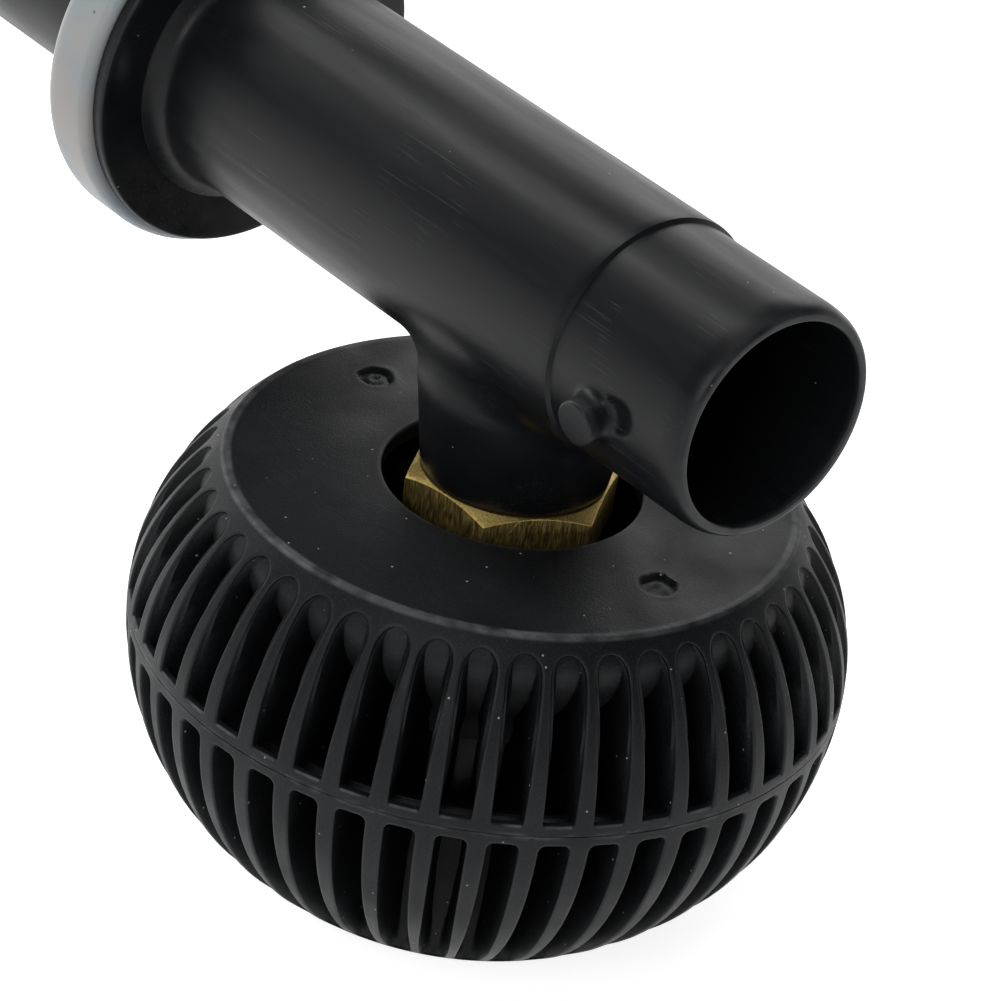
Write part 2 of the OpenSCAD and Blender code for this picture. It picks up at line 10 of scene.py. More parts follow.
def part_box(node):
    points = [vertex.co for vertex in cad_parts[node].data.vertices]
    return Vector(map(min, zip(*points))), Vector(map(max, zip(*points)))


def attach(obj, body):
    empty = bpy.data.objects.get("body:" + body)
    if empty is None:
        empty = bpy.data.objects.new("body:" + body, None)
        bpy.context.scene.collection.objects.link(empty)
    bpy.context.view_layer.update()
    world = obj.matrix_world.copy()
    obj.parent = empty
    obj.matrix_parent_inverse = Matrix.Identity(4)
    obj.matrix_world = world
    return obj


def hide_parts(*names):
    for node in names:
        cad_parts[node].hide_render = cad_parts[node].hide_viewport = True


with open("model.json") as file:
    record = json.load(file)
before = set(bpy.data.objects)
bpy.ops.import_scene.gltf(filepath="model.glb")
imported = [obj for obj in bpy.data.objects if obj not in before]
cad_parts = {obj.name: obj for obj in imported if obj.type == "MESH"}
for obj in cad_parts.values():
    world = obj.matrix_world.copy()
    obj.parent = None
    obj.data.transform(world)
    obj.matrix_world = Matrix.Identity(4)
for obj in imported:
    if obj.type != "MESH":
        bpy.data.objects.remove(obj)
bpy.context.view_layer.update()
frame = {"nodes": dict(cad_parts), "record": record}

# ---------------------------------------------------------------- sizes, in mm
MM = 0.001


def box_mm(node):
    """A CAD node's lowest and highest corner, in mm."""
    low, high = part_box(node)
    return np.array(low) / MM, np.array(high) / MM


def mount_mm(name):
    """A mount's place, in mm."""
    mount = next(m for m in frame["record"]["mounts"] if m["name"] == name)
    return np.array(mount["pos_m"]) / MM


# Cage: two shells that meet at band_z, each with an elliptical outline
cage_r = box_mm("upper_strainer")[1][0]
band_z = box_mm("upper_strainer")[0][2]
disc_z = box_mm("upper_strainer")[1][2]
dome_h = 37.4
bowl_h = 42.2
slot_count = 46
slot_w = 4.0
fin_t = 1.2
slot_phase = math.radians(2.2)
pitch = 2 * math.pi / slot_count
ring_h = 1.5
ring_in_r = cage_r - 1.1
slot_top_z = disc_z - 1.7
slot_low_z = 4.8
scoop_z = disc_z - 19.0
core_top_z = disc_z - 2.8
core_foot_r = 27.7
waist_r = 25.9
window_z = 25.0
disc_under_z = disc_z - 2.5
disc_hole_r = 17.2
floor_z = 3.0
dimple_x = 29.0
dimple_r = 2.5
dimple_d = 0.55
boss_r = 3.4
lip_in_r, lip_out_r = 42.0, 43.8
lip_h = 0.2

# Tee: the tube lies along X at tube_z, over a branch on the Z axis
tube_z = mount_mm("mouth_bore")[2]
foot_z = 61.0
foot_r = 12.4
branch_r = 14.4
tube_r = 16.6
mouth_r = 16.0
mouth_x = box_mm("tee_pipe")[1][0]
step_x = 19.8
mouth_bore_r = 14.0
tube_bore_r = 13.4
rear_bore_r = 12.0
shoulder_x = mouth_x - 31.2
lip_l = 3.6
flange_x = -61.5
flange_r = 25.7
collar_r = 19.0
flare_l = 3.6
gasket_x = box_mm("flange_gasket")[1][0]
gasket_end_x = box_mm("flange_gasket")[0][0]
gasket_r = box_mm("flange_gasket")[1][1]
gasket_in_r = 14.85
seat_r = 14.7
spigot_r = 14.5
spigot_end_x = box_mm("tee_pipe")[0][0]
pin_x = 28.0
pin_r = 3.0
pin_tip_r = 19.2
pin_tilt = math.radians(9)
mould_angle = math.radians(6.7)
dent_x = 32.2
dent_angle = math.radians(2.0)
dent_r = 2.4
face_scuff = (-22.9, 96.2)
side_scuff = (-52.0, 86.5)


# ---------------------------------------------------------------- mesh helpers
class Shape:
    """Collects grids of points, in mm, and turns them into one mesh object.
    Each point has a value for wear and painted light: above 0 its edge is painted pale, as rubbing wear and
    as a painted highlight; below 0 it is painted dark, as painted shade deep in a slot."""

    def __init__(self):
        self.points = []
        self.wear_and_painted_light = []
        self.faces = []
        self.count = 0

    def grid(self, points, wear_and_painted_light=0.0, closed=False):
        """Adds a grid of shape (rows, columns, 3). closed joins its last column to its first."""
        points = np.asarray(points, float)
        rows, cols = points.shape[:2]
        wear_and_painted_light = np.broadcast_to(np.asarray(wear_and_painted_light, float), (rows, cols))
        ids = np.arange(rows * cols).reshape(rows, cols) + self.count
        after = np.roll(ids, -1, axis=1) if closed else ids[:, 1:]
        here = ids if closed else ids[:, :-1]
        quads = np.stack([here[:-1], after[:-1], after[1:], here[1:]], axis=-1)
        self.points.append(points.reshape(-1, 3))
        self.wear_and_painted_light.append(wear_and_painted_light.reshape(-1))
        self.faces.append(quads.reshape(-1, 4))
        self.count += rows * cols

    def repeat(self, count, first, step):
        """Repeats all that was added so far, turned about the Z axis."""
        points, wear_and_painted_light = np.concatenate(self.points), np.concatenate(self.wear_and_painted_light)
        faces = np.concatenate(self.faces)
        size = len(points)
        self.points, self.wear_and_painted_light, self.faces = [], [], []
        for n in range(count):
            self.points.append(turned(points, first + n * step))
            self.wear_and_painted_light.append(wear_and_painted_light)
            self.faces.append(faces + n * size)
        self.count = size * count

    def move(self, change):
        """Moves the points through a function of an (n, 3) array."""
        self.points = [change(np.concatenate(self.points))]
        self.wear_and_painted_light = [np.concatenate(self.wear_and_painted_light)]

    def build(self, name, sharp=40):
        """Makes the object: doubles merged, faces turned outward, edges over `sharp` degrees kept sharp."""
        mesh = bpy.data.meshes.new(name)
        points = np.concatenate(self.points) * MM
        mesh.from_pydata(points.tolist(), [], np.concatenate(self.faces).tolist())
        layer = mesh.attributes.new("wear_and_painted_light", "FLOAT", "POINT")
        layer.data.foreach_set("value", np.concatenate(self.wear_and_painted_light).astype(np.float32))
        bm = bmesh.new()
        bm.from_mesh(mesh)
        bmesh.ops.remove_doubles(bm, verts=bm.verts, dist=2e-6)
        bmesh.ops.dissolve_degenerate(bm, edges=bm.edges, dist=1e-7)
        bmesh.ops.recalc_face_normals(bm, faces=bm.faces)
        bm.to_mesh(mesh)
        bm.free()
        mesh.shade_smooth()
        mesh.set_sharp_from_angle(angle=math.radians(sharp))
        obj = bpy.data.objects.new(name, mesh)
        bpy.context.scene.collection.objects.link(obj)
        return obj


def turned(points, angle):
    """Points turned about the Z axis."""
    c, s = math.cos(angle), math.sin(angle)
    return points @ np.array([[c, s, 0], [-s, c, 0], [0, 0, 1]])


def blend(a, b, t):
    return a + (b - a) * t


def divided(path, step):
    """A path of points with its long stretches cut into pieces of about `step`."""
    out = [path[0]]
    for a, b in zip(path[:-1], path[1:]):
        n = max(1, round(math.dist(a, b) / step))
        out += [tuple(blend(np.array(a), np.array(b), k / n)) for k in range(1, n + 1)]
    return out


def rounded(path, steps=4):
    """Corners (a, b, radius) of a path, each turned into an arc. A radius of 0 keeps the corner."""
    out = [path[0][:2]]
    for before, corner, after in zip(path[:-2], path[1:-1], path[2:]):
        here, r = np.array(corner[:2], float), corner[2]
        if r == 0:
            out.append(tuple(here))
            continue
        u = np.array(before[:2]) - here
        v = np.array(after[:2]) - here
        u, v = u / np.linalg.norm(u), v / np.linalg.norm(v)
        half = math.acos(np.clip(u @ v, -1, 1)) / 2
        middle = here + (u + v) / np.linalg.norm(u + v) * r / math.sin(half)
        start = here + u * r / math.tan(half) - middle
        end = here + v * r / math.tan(half) - middle
        for k in range(steps + 1):
            spoke = blend(start, end, k / steps)
            out.append(tuple(middle + spoke / np.linalg.norm(spoke) * r))
    return out + [path[-1][:2]]


def around_x(profile, sides):
    """A grid turned about the tube's axis from a profile of (x, r)."""
    angle = np.linspace(0, 2 * math.pi, sides, endpoint=False)
    x, r = np.array(profile).T
    y = r[:, None] * np.cos(angle)
    z = r[:, None] * np.sin(angle) + tube_z
    return np.stack([np.broadcast_to(x[:, None], y.shape), y, z], axis=-1)


def around_z(profile, angles):
    """A grid turned about the Z axis from a profile of (r, z)."""
    r, z = np.array(profile).T
    x = r[:, None] * np.cos(angles)
    y = r[:, None] * np.sin(angles)
    return np.stack([x, y, np.broadcast_to(z[:, None], x.shape)], axis=-1)


def waves(points, scale, seed):
    """A smooth repeatable unevenness between about -1 and 1, from a few crossed sine waves."""
    rng = np.random.default_rng(seed)
    total = np.zeros(len(points))
    for _ in range(6):
        way = rng.normal(size=3)
        along = points @ (way / np.linalg.norm(way))
        total += np.sin(along * rng.uniform(0.6, 1.8) / scale + rng.uniform(0, 6.3))
    return total / 3


# ---------------------------------------------------------------- strainer shells
def outline_r(z):
    """Outside radius of the cage at a height."""
    h = np.where(z >= band_z, dome_h, bowl_h)
    return cage_r * np.sqrt(1 - ((z - band_z) / h) ** 2)


def half_slot(z):
    """Half the width of a slot where it opens at a height. The upper slots widen a little as they rise."""
    widened = slot_w / 2 * (1 + 0.13 * np.clip((z - band_z) / 16, 0, 1))
    return np.minimum(widened, (pitch * outline_r(z) - fin_t) / 2)


def pinched(y, x):
    """A slot's half width y at a depth x: the fins between the slots never get thinner than fin_t."""
    return np.minimum(y, (pitch * x - fin_t) / slot_w * y)


def slot_side(upper):
    """Half of a slot's outline as (y, z): from its corner at the ring round to the middle of its far end.
    The second value is how many points the corner takes, and the third how many the far end's turn takes."""
    quarter = np.linspace(0, math.pi / 2, 9)
    if upper:
        corner_r, start, way = 0.35, band_z + ring_h, 1
        end_h, end_z = 2.2, slot_top_z
    else:
        corner_r, start, way = 0.9, band_z - ring_h, -1
        end_h, end_z = 1.2, slot_low_z
    corner = np.linspace(0, math.pi / 2, 4)
    half = slot_w / 2
    y = [half - corner_r + corner_r * math.sin(a) for a in corner]
    z = [start + way * corner_r * (1 - math.cos(a)) for a in corner]
    straight = np.linspace(z[-1], end_z - way * end_h, 15)[1:]
    y += [float(half_slot(s)) for s in straight]
    z += list(straight)
    for a in quarter[1:]:
        turn_z = end_z - way * end_h * (1 - math.sin(a))
        y.append(float(half_slot(turn_z)) * math.cos(a))
        z.append(turn_z)
    return np.array(y), np.array(z), len(corner), len(quarter) - 1


def on_outline(y, z):
    """Points of the cage's outside at a sideways distance y and a height z, seen square to the slot."""
    r = outline_r(z)
    return np.stack([np.sqrt(r**2 - y**2), y, z], axis=-1)


def at_angle(theta, z):
    """Points of the cage's outside at an angle from the slot's middle and a height."""
    r = outline_r(z)
    return np.stack([r * np.cos(theta), r * np.sin(theta), z], axis=-1)


def strainer_sector(shape, upper):
    """One slot of a shell with half a fin on each side, from the outside to the inside of the core wall."""
    way = 1 if upper else -1
    edge_r, edge_cols, start_cols = 0.36, 3, 4
    side_y, side_z, corner_n, turn_n = slot_side(upper)
    last = len(side_y) - 1
    start_y = np.linspace(-side_y[0], side_y[0], start_cols + 1)[:-1]
    y = np.concatenate([start_y, side_y, -side_y[-2:0:-1]])
    z = np.concatenate([np.full(start_cols, side_z[0]), side_z, side_z[-2:0:-1]])
    right = np.arange(start_cols, start_cols + last + 1)
    left = np.concatenate([[0], np.arange(len(y) - 1, start_cols + last, -1), [start_cols + last]])

    # The sector's rim, matched point by point to the slot's outline
    row_z = disc_z - 0.75 if upper else 3.2
    lip_z = band_z + way * 0.1
    turn = last - turn_n // 2
    rim_theta, rim_z = np.zeros(len(y)), np.full(len(y), lip_z)
    rim_theta[:start_cols] = start_y / side_y[0] * pitch / 2
    for n, (i, j) in enumerate(zip(right, left)):
        if n <= turn:
            theta = pitch / 2
            height = blend(lip_z, row_z, ((side_z[n] - side_z[0]) / (side_z[turn] - side_z[0])))
        else:
            theta = pitch / 2 * (last - n) / (last - turn)
            height = row_z
        rim_theta[i], rim_z[i] = theta, height
        rim_theta[j], rim_z[j] = -theta, height

    # Outside face, with its edge rounded into the slot
    ahead, behind = np.roll(np.arange(len(y)), -1), np.roll(np.arange(len(y)), 1)
    run = np.stack([y[ahead] - y[behind], z[ahead] - z[behind]], axis=-1)
    run /= np.linalg.norm(run, axis=1)[:, None]
    out_y, out_z = run[:, 1] * way, -run[:, 0] * way
    foot = on_outline(y + edge_r * out_y, z + edge_r * out_z)
    foot_theta = np.arctan2(foot[:, 1], foot[:, 0])
    crest = on_outline(y, z)
    wall = crest - [edge_r, 0, 0]
    rings = [at_angle(rim_theta, rim_z)]
    rings.append(at_angle(blend(rim_theta, foot_theta, 0.5), blend(rim_z, foot[:, 2], 0.5)))
    rings.append(at_angle(blend(rim_theta, foot_theta, 0.82), blend(rim_z, foot[:, 2], 0.82)))
    rings.append(foot)
    for k in range(1, edge_cols + 1):
        t = k / edge_cols
        rings.append((1 - t) ** 2 * foot + 2 * t * (1 - t) * crest + t**2 * wall)
    # The rounded slot edges are painted a little pale, as wear and as a painted highlight.
    wear_and_painted_light = np.array([0, 0, 0.01, 0.05, 0.09, 0.05, 0])
    wear_and_painted_light = np.repeat(wear_and_painted_light[:, None], len(y), axis=1)
    # Painted highlight: in the upper shell the sill at the foot of each slot is painted pale.
    if upper:
        wear_and_painted_light[4:6, : start_cols + 1] = 0.9
    shape.grid(rings, wear_and_painted_light=wear_and_painted_light, closed=True)

    # Side walls of the slot, stretched between its edge, the ring, the core wall and its far end.
    # Near the top of the upper slots they close in on a floor that rises like a scoop.
    inner_r = core_foot_r if upper else waist_r
    floor_x = [ring_in_r, ring_in_r] + list(np.linspace(ring_in_r, inner_r, 6)[1:])
    floor_zs = [side_z[0]] + [band_z] * 6
    cols = len(floor_x)
    sill = int(np.argmin(abs(side_z - window_z)))
    span = (side_z - side_z[0]) / (side_z[-1] - side_z[0])
    inner = np.zeros((last + 1, 2))
    for n in range(last + 1):
        if upper:
            height = blend(band_z, slot_top_z, span[n])
            straight = blend(core_foot_r, core_top_r(), (height - band_z) / (core_top_z - band_z))
            rise = np.clip((height - scoop_z) / (slot_top_z - scoop_z), 0, 1) ** 1.6
            inner[n] = blend(min(straight, outline_r(height) - 1.2), outline_r(height) - 0.45, rise), height
        elif n <= sill:
            inner[n] = waist_r, blend(band_z, window_z, n / sill)
        else:
            part = (n - sill - 1) / (last - sill - 1)
            inner[n] = blend(core_foot_r, core_low_r(), part), blend(window_z, slot_low_z, part)
    outer = wall[right][:, [0, 2]]
    layers = [wall]
    funnel = 0.55 if upper else 0.0
    scoop = np.clip((side_z - scoop_z) / 4, 0, 1) * (1 - 0.75 * span**6)
    for k in range(1, cols + 1):
        s = k / cols
        base = blend(outer, inner, s)
        start_fix = np.array([floor_x[k - 1], floor_zs[k - 1]]) - base[0]
        point = base + (1 - span)[:, None] * start_fix
        ring = np.zeros_like(wall)
        side = side_y * (1 - funnel * s * scoop)
        first = side_y[0]
        if k > 1:
            side[:corner_n] = slot_w / 2
            first = slot_w / 2
        ring[right] = np.stack([point[:, 0], pinched(side, point[:, 0]), point[:, 1]], axis=-1)
        ring[left] = ring[right] * [1, -1, 1]
        ring[:start_cols, 0], ring[:start_cols, 2] = floor_x[k - 1], floor_zs[k - 1]
        ring[:start_cols, 1] = start_y / side_y[0] * pinched(first, floor_x[k - 1])
        layers.append(ring)
    layers = np.array(layers)
    start = np.arange(start_cols + 1)
    shape.grid(layers[:3][:, start])
    # Painted shade: the slot's side walls are painted darker the deeper they go.
    shade = -np.linspace(0, 0.8, cols + 1)[:, None]
    shape.grid(layers[:, right], wear_and_painted_light=shade)
    shape.grid(layers[:, left], wear_and_painted_light=shade)

    # Floor of the slot, on the core wall
    floor_from = 0 if upper else sill
    across = np.linspace(0, 1, start_cols + 1)[None, :, None]
    deep_left, deep_right = layers[-1][left][floor_from:, None], layers[-1][right][floor_from:, None]
    shape.grid(blend(deep_left, deep_right, across))

    # Face at the parting plane: the ring, the fins and the top of the core wall
    lip_row = at_angle(rim_theta[: start_cols + 1], rim_z[: start_cols + 1])
    flat_row = lip_row * [1 - 0.1 / cage_r, 1 - 0.1 / cage_r, 1]
    flat_row[:, 2] = band_z
    # The parting edge is painted pale, as a painted highlight along the ridge, with some wear.
    shape.grid([lip_row, flat_row], wear_and_painted_light=[[0.6], [0.3]])
    ring_row = layers[2][start]
    shape.grid([flat_row, ring_row])
    for hand, edge in ((1, -1), (-1, 0)):
        path = layers[2:, start_cols if hand > 0 else 0]
        reach = np.hypot(path[:, 0], path[:, 1])
        half = hand * pitch / 2
        middle = np.stack([reach * math.cos(half), reach * math.sin(half), path[:, 2]], axis=-1)
        shape.grid([path, middle])
        shape.grid([[ring_row[edge], ring_row[edge]], [flat_row[edge], middle[0]]])
        if not upper:
            ends = layers[-1][right if hand > 0 else left][: sill + 1]
            reach = np.hypot(ends[:, 0], ends[:, 1])
            middle = np.stack([reach * math.cos(half), reach * math.sin(half), ends[:, 2]], axis=-1)
            shape.grid([ends, middle])

    # Inside of the core wall, and what closes the shell above or below the slots
    if upper:
        deep = layers[-1][start]
    else:
        deep = blend(layers[-1][left][sill], layers[-1][right][sill], across[0])
    half = pitch / 2
    reach = math.hypot(deep[0][0], deep[0][1])
    ends = [[[reach * math.cos(a), reach * math.sin(a), deep[0][2]]] for a in (-half, half)]
    inner_row = np.concatenate([ends[0], deep, ends[1]])
    angles = np.arctan2(inner_row[:, 1], inner_row[:, 0])
    end_row = at_angle(rim_theta, rim_z)[np.r_[left[turn:last], right[last : turn - 1 : -1]]]
    end_angles = np.arctan2(end_row[:, 1], end_row[:, 0])
    return inner_row, angles, end_row, end_angles


def core_top_r():
    """Outside radius of the core wall at the top of the upper slots."""
    return float(outline_r(core_top_z)) - 1.9


def core_low_r():
    """Outside radius of the core wall at the foot of the lower slots."""
    return float(outline_r(slot_low_z)) - 0.2


def upper_strainer():
    shape = Shape()
    inner_row, angles, end_row, end_angles = strainer_sector(shape, True)
    # Shoulder, top disc and hole
    edge_r = float(outline_r(disc_z))
    row_r = float(outline_r(end_row[0][2]))
    profile = rounded([(row_r, end_row[0][2], 0), (edge_r, disc_z, 0.7), (disc_hole_r, disc_z, 0.3),
                       (disc_hole_r, disc_under_z, 0.2), (core_top_r() - 1.8, disc_under_z, 0)])
    profile = divided(profile, 0.45)
    height = np.array(profile)[:, 1]
    radius = np.array(profile)[:, 0]
    # Painted highlight: the disc's rounded outer rim is painted pale, with some wear; the hole's rim is
    # painted a little paler.
    wear_and_painted_light = np.where((radius > edge_r - 0.75) & (height > disc_z - 0.42), 0.8, 0.0)
    wear_and_painted_light += np.where((radius < disc_hole_r + 0.5) & (height > disc_z - 0.4), 0.2, 0.0)
    shape.grid(around_z(profile, end_angles), wear_and_painted_light=wear_and_painted_light[:, None])
    # Inside of the core wall
    profile = [(waist_r, band_z), (core_top_r() - 1.8, disc_under_z)]
    wall = around_z(divided(profile, 4), angles)
    shape.grid([inner_row, wall[0]])
    shape.grid(wall)
    shape.repeat(slot_count, slot_phase, pitch)
    # Bosses that the bracket's screws enter
    for side in (-1, 1):
        round_about = np.linspace(0, 2 * math.pi, 40, endpoint=False)
        profile = rounded([(1.5, disc_under_z + 0.4, 0), (1.5, disc_under_z - 3.5, 0.2),
                           (boss_r, disc_under_z - 3.5, 0.4), (boss_r, disc_under_z + 0.4, 0)])
        shape.grid(around_z(profile, round_about) + [side * dimple_x, 0, 0], closed=True)
    shape.move(gate_dimples)
    return shape.build("upper_strainer_shell")


def gate_dimples(points):
    """Sinks the two ragged gate marks into the top disc."""
    points = points.copy()
    for side in (-1, 1):
        d = np.hypot(points[:, 0] - side * dimple_x, points[:, 1])
        ragged = dimple_r * (1 + 0.09 * waves(points, 0.55, 4 + side))
        near = np.clip((ragged - d) / 0.55, 0, 1)
        sink = dimple_d * near * near * (3 - 2 * near)
        crater = np.exp(-(((d - 0.9) / 0.5) ** 2)) * 0.22 * (1 + waves(points, 0.4, 9 + side))
        lip = np.exp(-(((d - ragged - 0.25) / 0.28) ** 2)) * 0.07
        scar = np.exp(-(((d - dimple_r - 1.3) / 0.3) ** 2)) * 0.03 * waves(points, 0.8, 7 + side)
        on_top = points[:, 2] > disc_z - 0.01
        points[:, 2] += np.where(on_top & (d < 6), lip + scar - sink + crater * near, 0)
    points[:, 2] = np.minimum(points[:, 2], disc_z + 0.12)
    return points


def lower_strainer():
    shape = Shape()
    inner_row, angles, end_row, end_angles = strainer_sector(shape, False)
    # Foot of the outside and the flat base
    foot_r = float(outline_r(0.0))
    profile = [(float(outline_r(z)), z) for z in np.linspace(end_row[0][2], 0.5, 5)]
    profile += rounded([(float(outline_r(0.45)), 0.45, 0), (foot_r, 0, 0.25), (3.0, 0, 0.1), (2.6, 0.35, 0.1),
                        (0.0, 0.35, 0)])
    shape.grid(around_z(divided(profile, 1.6), end_angles))
    # Inside of the core wall and the cage's floor
    profile = rounded([(waist_r, window_z, 0), (28.4, 6, 1), (25.4, floor_z, 0.8), (0, floor_z, 0)])
    wall = around_z(divided(profile, 3), angles)
    shape.grid([inner_row, wall[0]])
    shape.grid(wall)
    shape.repeat(slot_count, slot_phase, pitch)
    # Locating lip that enters the upper shell
    full = np.linspace(0, 2 * math.pi, 368, endpoint=False)
    low, high = band_z - ring_h, band_z + lip_h
    middle_r = (lip_in_r + lip_out_r) / 2
    profile = rounded([(middle_r, low, 0), (lip_out_r, low, 0.1), (lip_out_r, high, 0.3),
                       (lip_in_r, high, 0.3), (lip_in_r, low, 0.1), (middle_r, low, 0)])
    # Painted shade: the lip, hidden in the gap between the shells, is painted fully dark.
    shape.grid(around_z(profile, full), wear_and_painted_light=-1.0, closed=True)
    return shape.build("lower_strainer_shell")


# ---------------------------------------------------------------- tee and gasket
def smooth_union(a, b, k):
    """Distance to two shapes whose meeting line is filled with a fillet of about k."""
    near = np.maximum(k - np.abs(a - b), 0) / k
    return np.minimum(a, b) - near * near * k / 4


def pulled_onto(points, distance):
    """Points moved onto the surface where a distance function is zero."""
    small = 1e-3
    for _ in range(7):
        d = distance(points)
        slope = np.stack([distance(points + small * axis) - d for axis in np.eye(3)], axis=-1) / small
        points = points - (d / np.maximum((slope**2).sum(-1), 1e-6))[..., None] * slope
    return points


def tube_distance(p, r):
    return np.hypot(p[..., 1], p[..., 2] - tube_z) - r


def branch_distance(p):
    """Distance to the flared branch, which ends inside the tube."""
    height = np.clip((p[..., 2] - foot_z) / (tube_z - tube_r - foot_z), 0, 1)
    beside = np.hypot(p[..., 0], p[..., 1]) - blend(foot_r, branch_r, height)
    above = np.maximum(p[..., 2] - (tube_z - math.sqrt(tube_r**2 - branch_r**2)), 0)
    return np.where(above > 0, np.hypot(np.maximum(beside, 0), above) + np.minimum(beside, 0), beside)


def unrolled(x, s, r):
    """A point of the tube at a place along it and a distance s round it from its lowest line."""
    return np.stack([x, r * np.sin(s / r), tube_z - r * np.cos(s / r)], axis=-1)


def saddle(radius, r, turn, spread):
    """Loops on a tube of radius r around a round boss: a list over `spread` of rings, `turn` points each."""
    angle = np.linspace(0, 2 * math.pi, turn, endpoint=False)
    x, s = radius * np.cos(angle), r * np.arcsin(np.clip(radius * np.sin(angle) / r, -1, 1))
    dx, ds = np.roll(x, -1) - np.roll(x, 1), np.roll(s, -1) - np.roll(s, 1)
    size = np.hypot(dx, ds)
    return angle, [unrolled(x + t * ds / size, s - t * dx / size, r) for t in spread]


def branch_grid():
    """The branch from its foot to a fillet that runs out on the tube."""
    fillet = 3.6
    spread = np.linspace(0, 6.4, 12)
    angle, loops = saddle(branch_r, tube_r, 128, spread)
    crease = loops[0]
    foot = np.stack([foot_r * np.cos(angle), foot_r * np.sin(angle), np.full(len(angle), foot_z)], axis=-1)
    rows = [blend(foot, crease, t) for t in np.linspace(0.05, 0.97, 22)] + loops

    def surface(p):
        return smooth_union(tube_distance(p, tube_r), branch_distance(p), fillet)

    grid = pulled_onto(np.array(rows), surface)
    inward = np.array([0, 0, tube_z]) - grid[-1]
    inward[:, 0] = 0
    grid[-1] += 0.04 * inward / np.linalg.norm(inward, axis=1)[:, None]
    bottom = around_z(rounded([(9.3, foot_z + 10, 0), (9.3, foot_z, 0.5), (foot_r, foot_z, 0.5),
                               (foot_r, foot_z + 1.2, 0)], 3), angle)
    return np.concatenate([bottom[:-1], grid])


def pin_grid(side):
    """A bayonet pin with a small fillet on the tube and a flat tip."""
    fillet = 1.3
    spread = np.linspace(0, 1.6, 6)
    angle, loops = saddle(pin_r, mouth_r, 48, spread)
    low = tube_z - pin_tip_r
    tip = [np.stack([r * np.cos(angle), r * np.sin(angle), np.full(len(angle), z)], axis=-1)
           for r, z in rounded([(0, low, 0), (pin_r, low, 0.45), (pin_r, low + 1.2, 0)], 4)]
    tip[0][:, 2] += 0.05

    def surface(p):
        pin = np.hypot(p[..., 0], p[..., 1]) - pin_r
        return smooth_union(tube_distance(p, mouth_r), pin, fillet)

    sides = [blend(tip[-1], loops[0], t) for t in (0.25, 0.5, 0.75)] + loops
    sides = pulled_onto(np.array(sides), surface)
    sides[-1][:, 2] += 0.05
    grid = np.concatenate([tip, sides])
    grid[..., 2] -= tube_z
    roll = math.pi / 2 * side + pin_tilt
    c, s = math.cos(roll), math.sin(roll)
    y, z = grid[..., 1].copy(), grid[..., 2].copy()
    grid[..., 1] = c * y - s * z
    grid[..., 2] = s * y + c * z + tube_z
    return grid + [pin_x, 0, 0]


def tee_pipe():
    shape = Shape()
    lip_r, edge_t = mouth_r - 1.2, 0.8
    curve = [(mouth_x - lip_l + lip_l * math.sin(a), lip_r + (mouth_r - lip_r) * math.cos(a))
             for a in np.linspace(0, math.pi / 2, 12)]
    outside = [(mouth_x, mouth_bore_r + edge_t / 2)] + curve[::-1]
    outside += [(step_x + 0.02, mouth_r), (step_x - 0.35, tube_r - 0.08), (step_x - 0.9, tube_r)]
    seam_x = flange_x + 0.15
    outside += [(seam_x + flare_l * (1 - t), blend(tube_r, collar_r, t**3.4)) for t in np.linspace(0, 1, 14)]
    outside += rounded([(seam_x, collar_r, 0), (flange_x, collar_r + 0.05, 0.02),
                        (flange_x, flange_r, 0.45), (gasket_x, flange_r, 0.45),
                        (gasket_x, seat_r, 0.3), (gasket_end_x - 0.5, seat_r, 0.1),
                        (gasket_end_x - 0.6, spigot_r, 0.1),
                        (spigot_end_x + 1, spigot_r, 0.3), (spigot_end_x, spigot_r - 1, 0.3),
                        (spigot_end_x, rear_bore_r, 0.4), (flange_x, rear_bore_r, 0.2),
                        (flange_x + 1, tube_bore_r, 0.2),
                        (shoulder_x - 0.3, tube_bore_r, 0.2), (shoulder_x, mouth_bore_r, 0.2),
                        (mouth_x, mouth_bore_r, 0.3), (mouth_x, mouth_bore_r + edge_t / 2, 0)])
    profile = divided(outside, 0.8)
    x, r = np.array(profile).T
    # The mouth's rim is painted pale, as a painted highlight with wear; the flange's outer edge is painted
    # pale too.
    wear_and_painted_light = np.exp(-(((x - mouth_x) / 0.5) ** 2)) * 0.8
    wear_and_painted_light += np.exp(-(((x - flange_x) / 0.5) ** 2) - (((r - flange_r) / 0.6) ** 2)) * 0.6
    grid = around_x(profile, 224)
    shape.grid(grid, wear_and_painted_light=wear_and_painted_light[:, None] + scuffs(grid), closed=True)
    shape.grid(branch_grid(), closed=True)
    for side in (-1, 1):
        grid = pin_grid(side)
        # The tip's rounded edge is painted pale.
        wear_and_painted_light = np.zeros(grid.shape[0])
        wear_and_painted_light[2:7] = 0.5
        shape.grid(grid, wear_and_painted_light=wear_and_painted_light[:, None], closed=True)
    shape.move(tube_marks)
    return shape.build("tee_tube")


def scuffs(grid):
    """Rubbed spots: one on the flange's face and one on the tube beside it."""
    x, y, z = grid[..., 0], grid[..., 1], grid[..., 2]
    on_face = abs(x - flange_x) < 0.1
    on_flange = np.exp(-(((y - face_scuff[0]) / 1.0) ** 2) - (((z - face_scuff[1]) / 2.6) ** 2)) * on_face
    on_side = (y < 0) * (np.hypot(y, z - tube_z) > mouth_r)
    beside = np.exp(-(((x - side_scuff[0]) / 2.6) ** 2) - (((z - side_scuff[1]) / 2.2) ** 2)) * on_side
    return 0.9 * on_flange + 0.35 * beside


